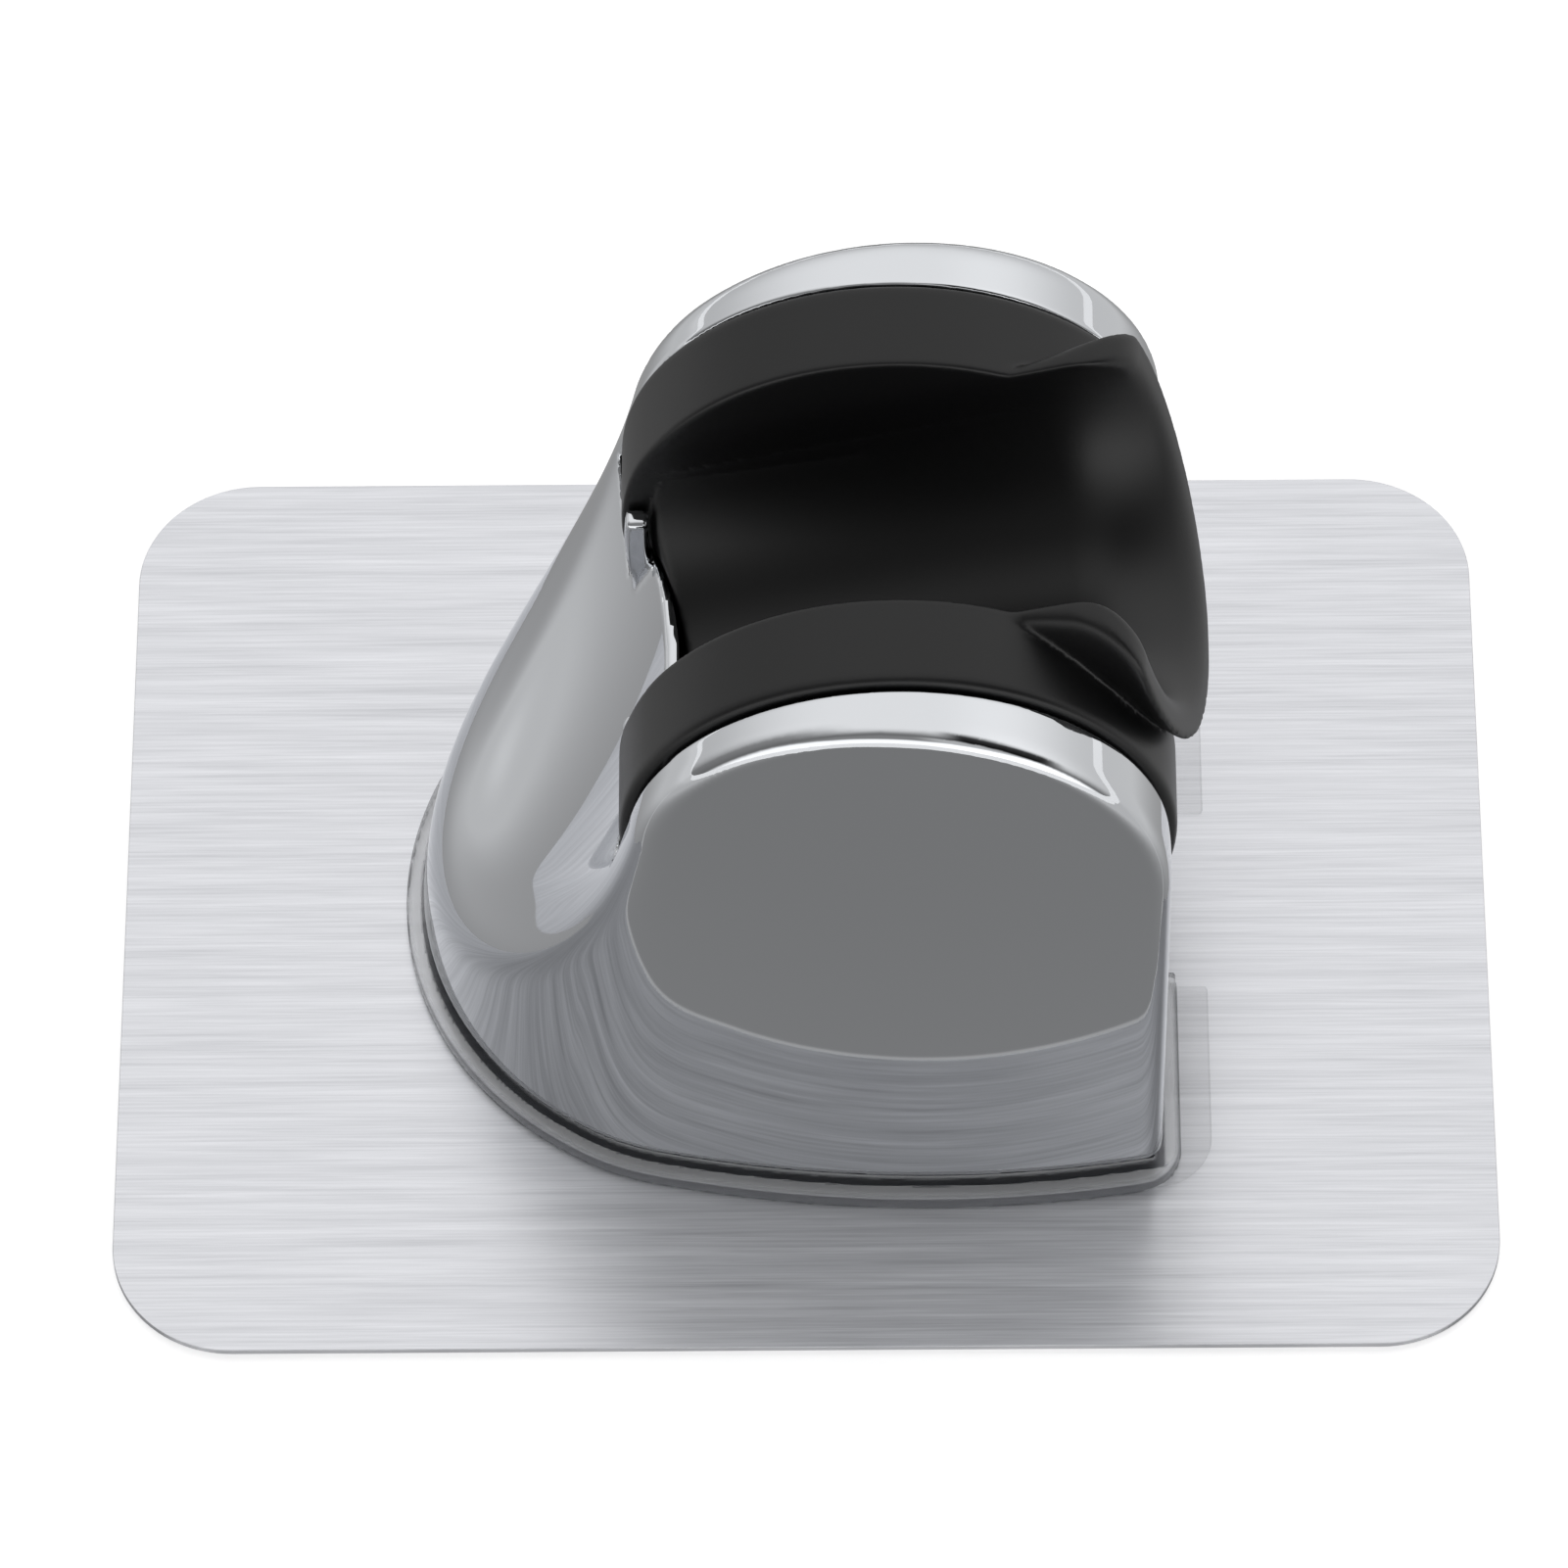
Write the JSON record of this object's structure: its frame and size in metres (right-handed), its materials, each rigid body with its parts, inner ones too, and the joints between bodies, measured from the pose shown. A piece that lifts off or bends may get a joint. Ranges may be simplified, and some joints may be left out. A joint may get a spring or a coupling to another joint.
{
  "type": "hand shower holder",
  "caption": "Self-adhesive wall holder for a hand shower: a chromed fork with a hose groove on a brushed backing sheet, and a black flared cradle that tilts between its round cheeks.",
  "frame": {"origin": "centre of the adhesive back face, where it meets the wall", "axes": "+Z out of the wall, +X up the wall towards the wide mouth of the cradle, +Y across the holder along the tilt axis"},
  "size_m": [0.093, 0.07, 0.0515],
  "materials": {
    "adhesive": "soft acrylic adhesive",
    "brushed_sheet": "brushed along X",
    "clear_plastic": "clear, polished",
    "chrome_plate": "mirror chrome plating on moulded plastic",
    "black_plastic": "satin black"
  },
  "bodies": {
    "base": {"adhesive_pad": "adhesive", "backing_sheet": "brushed_sheet", "clear_base": "clear_plastic", "holder_body": "chrome_plate"},
    "tilting_cradle": {"cradle": "black_plastic"}
  },
  "joints": [
    {"name": "cradle_tilt", "type": "hinge", "parent": "base", "child": "tilting_cradle", "pos_m": [0.0063, 0, 0.0334], "axis": [0, -1, 0], "range_deg": [-20, 20]}
  ]
}
